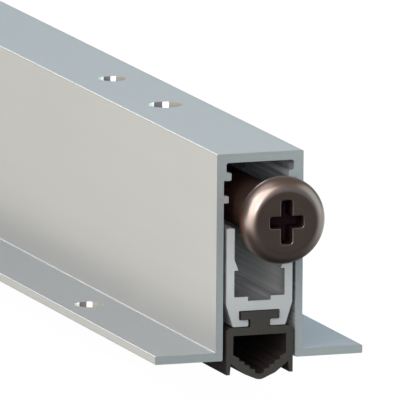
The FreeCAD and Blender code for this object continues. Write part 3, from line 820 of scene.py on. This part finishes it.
def threadOutline(shape, start, root, radius):
    # one turn's profile, as a chain of edges that starts some turns before the thread
    pitch = shape["pitch"]
    flat = pitch * shape["crest"]
    flank = (pitch - 2 * flat) / 2
    stations = [(0, root), (flat, root), (flat + flank, radius), (2 * flat + flank, radius), (pitch, root)]
    bpy.ops.object.select_all(action="DESELECT")
    bpy.ops.mesh.primitive_plane_add(size=1)
    piece = bpy.context.object
    edit(piece, "VERT")
    bpy.ops.mesh.merge(type="CENTER")
    for before, after in zip(stations, stations[1:]):
        bpy.ops.mesh.extrude_vertices_move(
            TRANSFORM_OT_translate={"value": (after[0] - before[0], 0, after[1] - before[1])}
        )
    leaveEdit()
    first = min(vertex.co.x for vertex in piece.data.vertices)
    lowest = min(vertex.co.z for vertex in piece.data.vertices)
    for vertex in piece.data.vertices:
        vertex.co.x += start - threadMaking["lead"] * pitch - first
        vertex.co.z += root - lowest
    return piece


def helicalThread(shape, start, end, radius, chamfered):
    # the outline is swept round the axis, and a bar with chamfered ends cuts it to length
    pitch, root = shape["pitch"], radius - shape["depth"]
    piece = threadOutline(shape, start, root, radius)
    turns = math.ceil((end - start) / pitch) + threadMaking["spare"]
    windRound(piece, pitch, turns, threadMaking["steps"])
    edit(piece, "VERT")
    bpy.ops.mesh.remove_doubles(threshold=threadMaking["weld"])
    leaveEdit()
    closeEnd(piece, True)
    closeEnd(piece, False)
    turnOutwards(piece)
    for vertex in piece.data.vertices:
        vertex.co.z += axisHeight
    outer = radius * threadMaking["oversize"]
    bar = roundBar(outer, start, end)
    for place in chamfered:
        bevelEdges(bar, lambda ends: allAt(ends, place), outer - root)
    cutAway(piece, bar, "INTERSECT")
    return piece


def finishThread(piece, name, node):
    settle(piece, name)
    smooth(piece, 20)
    finishPiece(piece, "zinc_steel", "actuator", node)


def modelStud(shape):
    low, high = nodeBox(shape["node"])
    piece = helicalThread(shape, low.x, high.x, (high.y - low.y) / 2, (low.x, high.x))
    finishThread(piece, "threadedStud", shape["node"])


def modelTailRod(shape):
    low, high = nodeBox(shape["node"])
    radius = (high.y - low.y) / 2
    shoulder = low.x + shape["length"]
    thread = helicalThread(shape, low.x, shoulder + shape["chamfer"], radius, (low.x,))
    rod = roundBar(radius, shoulder, high.x)
    bevelEdges(rod, lambda ends: allAt(ends, shoulder), shape["chamfer"])
    cutAway(rod, thread, "UNION")
    finishThread(rod, "threadedTailRod", shape["node"])


def modelStopNut(shape):
    low, high = nodeBox(shape["node"])
    corner = (high.y - low.y) / math.sqrt(3)
    piece = roundBar(corner, low.x, high.x, 6)
    sine, cosine = math.sin(shape["turn"]), math.cos(shape["turn"])
    for vertex in piece.data.vertices:
        y, z = vertex.co.y, vertex.co.z - axisHeight
        vertex.co.y = y * cosine - z * sine
        vertex.co.z = y * sine + z * cosine + axisHeight
    disc = roundBar(corner * shape["oversize"], low.x, high.x, 96)
    bevelEdges(disc, lambda ends: allAt(ends, low.x) or allAt(ends, high.x), shape["chamfer"])
    cutAway(piece, disc, "INTERSECT")
    overrun = shape["boreOverrun"]
    cutAway(piece, roundBar(shape["boreRadius"], low.x - overrun, high.x + overrun, 48))
    settle(piece, "chamferedNut")
    smooth(piece, 25)
    finishPiece(piece, "zinc_steel", "actuator", shape["node"])


modelStud(studThread)
modelTailRod(tailThread)
modelStopNut(stopNut)
print("threads and nut modelled")


# Springs of round wire, with closed ends
returnSpring = {
    "start": -0.1325,
    "end": -0.1065,
    "wire": 0.0009,
    "radius": 0.0031,
    "turns": 9,
    "bodies": ("housing", "actuator"),
    "node": "return_spring",
}
lockingSpring = {
    "start": 0.1105,
    "end": 0.12025,
    "wire": 0.0007,
    "radius": 0.0034,
    "turns": 5,
    "bodies": ("actuator", "washer"),
    "node": "locking_spring",
}
coiling = {
    "steps": 40,
    "wireSides": 14,
    "endGap": 0.00006,  # between the coil's ends and what they press on
    "closedPitch": 1.04,  # the end turns' pitch, in wire diameters
}


def modelSpring(shape, name):
    bpy.ops.object.select_all(action="DESELECT")
    bpy.ops.mesh.primitive_circle_add(
        vertices=coiling["wireSides"], radius=shape["wire"] / 2, location=(0, shape["radius"], 0)
    )
    piece = settle(bpy.context.object, name)
    turns, steps = shape["turns"], coiling["steps"]
    windRound(piece, 1.0, turns, steps, use_smooth_shade=True)
    # one unit of length is one turn so far: the end turns close up and the others share the rest
    closed = shape["wire"] * coiling["closedPitch"]
    inner = shape["start"] + shape["wire"] / 2 + coiling["endGap"]
    outer = shape["end"] - shape["wire"] / 2 - coiling["endGap"]
    openPitch = (outer - inner - 2 * closed) / (turns - 2)
    for index, vertex in enumerate(piece.data.vertices):
        turn = index // coiling["wireSides"] / steps
        if turn < 1:
            middle = inner + closed * turn
        elif turn > turns - 1:
            middle = outer - closed * (turns - turn)
        else:
            middle = inner + closed + openPitch * (turn - 1)
        vertex.co.x += middle - turn
        vertex.co.z += axisHeight
    edit(piece, "EDGE", "DESELECT")
    bpy.ops.mesh.select_non_manifold()
    bpy.ops.mesh.edge_face_add()
    leaveEdit()
    turnOutwards(piece)
    smooth(piece, 40)
    finishPiece(piece, "spring_steel", None, shape["node"])
    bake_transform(piece)


modelSpring(returnSpring, "returnCoil")
modelSpring(lockingSpring, "lockingCoil")
print("springs wound")


# Floor and surroundings
stageSetup = {
    "floorHeight": -0.01312,  # where the dropped seal just touches
    "floorSize": 8.0,
    "floorColour": (0.86, 0.86, 0.85),
    "floorBounce": (0.25, 0.25, 0.25),
    "shadowShare": 0.09,
    "floorMirrored": (0.86, 0.845, 0.805),
    # painted shadow: a reflection of the floor is dark close under the seal, out to this distance
    "underSealShadow": 0.28,
    "shadedTo": 0.012,
    "clearFrom": 0.039,
    # painted light: how bright it is round the plunger's end, by the angle from straight ahead, in radians
    "aheadOfEnd": 0.03,
    "closeAhead": 0.26,
    "closeRange": (0.13, 0.04),
    "rightOfSeal": 1.6,
    "rightMirrored": (0.92, 1.0, 0.97),
    "rightTurn": (0.55, 1.00),
    "rightRange": (0.03, 0.10),
    "rightEnds": (2.90, 2.30),
    "paintedKeyPool": 4.5,
    "keyTurn": (-0.20, -0.65),
    "keyRange": (0.09, 0.20),
    "sideTurn": (-1.30, -1.90),
    "halfLength": 0.17,
    # the surroundings, as reflections see them, and as they light the object
    "mirroredSide": (0.94, 0.92, 0.875),
    "mirroredTop": (0.41, 0.51, 0.58),
    "mirroredLeft": (0.36, 0.41, 0.44),
    "leftTurn": (-0.05, 0.20),
    "mirroredAbove": (0.40, 0.335, 0.295),
    "aboveRise": (0.35, 0.60),
    "mirroredRise": (-0.06, 0.12),
    "floorGlow": 1.06,
    "worldSide": (0.95, 0.94, 0.92),
    "worldTop": (0.85, 0.90, 0.95),
    "worldLevel": 0.52,
}


def reflectedShare(tree):
    rays = addNode(tree, "ShaderNodeLightPath").outputs
    return calculate(tree, "MAXIMUM", rays["Is Glossy Ray"], rays["Is Transmission Ray"])


def mixShaders(tree, share, first, second):
    return addNode(tree, "ShaderNodeMixShader", {0: share, 1: first, 2: second}).outputs["Shader"]


def glow(tree, kind, colour, strength):
    return addNode(tree, kind, {"Color": colour, "Strength": strength}).outputs[0]


def seenFloor(tree, setup):
    # the camera sees a white floor with a faint shadow, and the object gets little light back from it
    rays = addNode(tree, "ShaderNodeLightPath").outputs
    tone = blendColour(tree, rays["Is Diffuse Ray"], setup["floorColour"], setup["floorBounce"])
    matt = addNode(tree, "ShaderNodeBsdfDiffuse", {"Color": tone}).outputs["BSDF"]
    bright = glow(tree, "ShaderNodeEmission", rgb((1, 1, 1)), setup["floorGlow"])
    share = calculate(tree, "MULTIPLY", rays["Is Camera Ray"], 1 - setup["shadowShare"])
    return mixShaders(tree, share, matt, bright)


def mirroredFloor(tree, setup):
    # painted shadow: reflections show the floor darker close under the seal
    place = xyzOf(tree)
    along = calculate(tree, "ABSOLUTE", place["X"])
    beyond = calculate(tree, "MAXIMUM", calculate(tree, "SUBTRACT", along, setup["halfLength"]), 0.0)
    gap = lengthOf(tree, {"X": beyond, "Y": place["Y"]})
    level = ramp(tree, gap, setup["shadedTo"], setup["clearFrom"], setup["underSealShadow"], 1.0)

    # and painted light round the plunger's end by direction: dark ahead, a bright glowing patch towards the
    # key light, and brighter to the right
    forward = calculate(tree, "SUBTRACT", place["X"], plungerEnd)
    azimuth = calculate(tree, "ARCTAN2", place["Y"], forward)
    reach = lengthOf(tree, {"X": forward, "Y": place["Y"]})
    right = ramp(tree, azimuth, *setup["rightTurn"])
    right = calculate(tree, "MULTIPLY", right, ramp(tree, place["Y"], *setup["rightRange"]))
    notBehind = ramp(tree, azimuth, *setup["rightEnds"])
    key = ramp(tree, azimuth, *setup["keyTurn"])
    key = calculate(tree, "MULTIPLY", key, ramp(tree, reach, *setup["keyRange"]))
    around = ramp(tree, reach, *setup["closeRange"], setup["aheadOfEnd"], setup["closeAhead"])
    around = blendValue(tree, right, around, setup["rightOfSeal"])
    around = blendValue(tree, key, around, setup["paintedKeyPool"])
    around = blendValue(tree, ramp(tree, azimuth, *setup["sideTurn"]), around, 1.0)
    around = blendValue(tree, notBehind, 1.0, around)
    cool = calculate(tree, "MULTIPLY", right, notBehind)
    tone = blendColour(tree, cool, setup["floorMirrored"], setup["rightMirrored"])
    return glow(tree, "ShaderNodeEmission", tone, calculate(tree, "MULTIPLY", level, around))


def buildFloor(setup):
    bpy.ops.object.select_all(action="DESELECT")
    bpy.ops.mesh.primitive_plane_add(size=setup["floorSize"], location=(0, 0, setup["floorHeight"]))
    floor = settle(bpy.context.object, "studioFloor")
    material = bpy.data.materials.new("paleFloor")
    material.use_nodes = True
    tree = material.node_tree
    tree.nodes.remove(tree.nodes["Principled BSDF"])
    mixed = mixShaders(tree, reflectedShare(tree), seenFloor(tree, setup), mirroredFloor(tree, setup))
    tree.links.new(mixed, tree.nodes["Material Output"].inputs["Surface"])
    floor.data.materials.append(material)


def buildWorld(setup):
    world = bpy.data.worlds.new("studioWorld")
    bpy.context.scene.world = world
    world.use_nodes = True
    tree = world.node_tree
    tree.nodes.clear()
    way = xyzOf(tree, "Generated")
    rise = ramp(tree, way["Z"], *setup["mirroredRise"])
    above = ramp(tree, way["Y"], *setup["leftTurn"])
    above = blendColour(tree, above, setup["mirroredLeft"], setup["mirroredTop"])
    above = blendColour(tree, ramp(tree, way["Z"], *setup["aboveRise"]), above, setup["mirroredAbove"])
    glossTint = blendColour(tree, rise, setup["mirroredSide"], above)
    softTint = blendColour(tree, rise, setup["worldSide"], setup["worldTop"])
    soft = glow(tree, "ShaderNodeBackground", softTint, setup["worldLevel"])
    gloss = glow(tree, "ShaderNodeBackground", glossTint, 1.0)
    white = glow(tree, "ShaderNodeBackground", rgb((1, 1, 1)), 1.0)
    lit = mixShaders(tree, reflectedShare(tree), soft, gloss)
    toCamera = addNode(tree, "ShaderNodeLightPath").outputs["Is Camera Ray"]
    output = addNode(tree, "ShaderNodeOutputWorld")
    tree.links.new(mixShaders(tree, toCamera, lit, white), output.inputs["Surface"])


# Softboxes, each at a place from the camera's aim
lights = {
    "keySoftbox": {
        "place": (0.676, -0.568, 0.469),
        "size": (1.2, 1.0),
        "power": 24.0,
        "colour": (1.0, 0.975, 0.95),
    },
    "rightSoftbox": {
        "place": (0.25, 0.93, 0.35),
        "size": (0.9, 0.8),
        "power": 3.6,
        "colour": (0.86, 1.0, 0.95),
    },
    "topSoftbox": {
        "place": (0.1, -0.55, 0.9),
        "size": (1.0, 1.0),
        "power": 5.0,
        "colour": (0.97, 0.98, 1.0),
    },
    "axisSoftbox": {
        "place": (1.0, -0.30, 0.20),
        "size": (0.12, 0.12),
        "power": 1.5,
        "colour": (0.97, 1.0, 1.0),
    },
    "backSoftbox": {
        "place": (-0.93, -0.02, 0.40),
        "size": (0.2, 0.2),
        "power": 0.5,
        "colour": (1.0, 1.0, 1.0),
    },
}
glossOnly = {
    "light": "keySoftbox",
    "name": "keyGloss",
    "piece": "turnedPlunger",
    "ahead": 0.02,  # of the way to the target, because two lights in one plane would hide each other
}


def addLight(name, setup, target):
    data = bpy.data.lights.new(name, "AREA")
    data.energy = setup["power"]
    data.shape = "RECTANGLE"
    data.size, data.size_y = setup["size"]
    data.color = setup["colour"]
    lamp = bpy.data.objects.new(name, data)
    bpy.context.scene.collection.objects.link(lamp)
    spot = target + Vector(setup["place"])
    lamp.location = spot
    lamp.rotation_euler = (target - spot).to_track_quat("-Z", "Y").to_euler()
    return lamp


def splitLight(lamp, setup, target):
    # its mirror image shows on one piece alone, and its soft light falls on everything
    twin = lamp.copy()
    twin.name = setup["name"]
    bpy.context.scene.collection.objects.link(twin)
    twin.location = lamp.location + (target - lamp.location) * setup["ahead"]
    twin.visible_diffuse = False
    lamp.visible_glossy = False
    receivers = bpy.data.collections.new(setup["name"])
    receivers.objects.link(bpy.data.objects[setup["piece"]])
    twin.light_linking.receiver_collection = receivers


buildFloor(stageSetup)
buildWorld(stageSetup)
lightTarget = Vector(cameraSetup["aim"])
lamps = {name: addLight(name, setup, lightTarget) for name, setup in lights.items()}
splitLight(lamps[glossOnly["light"]], glossOnly, lightTarget)
bpy.context.scene.view_settings.view_transform = "Standard"
print("stage and lights ready")
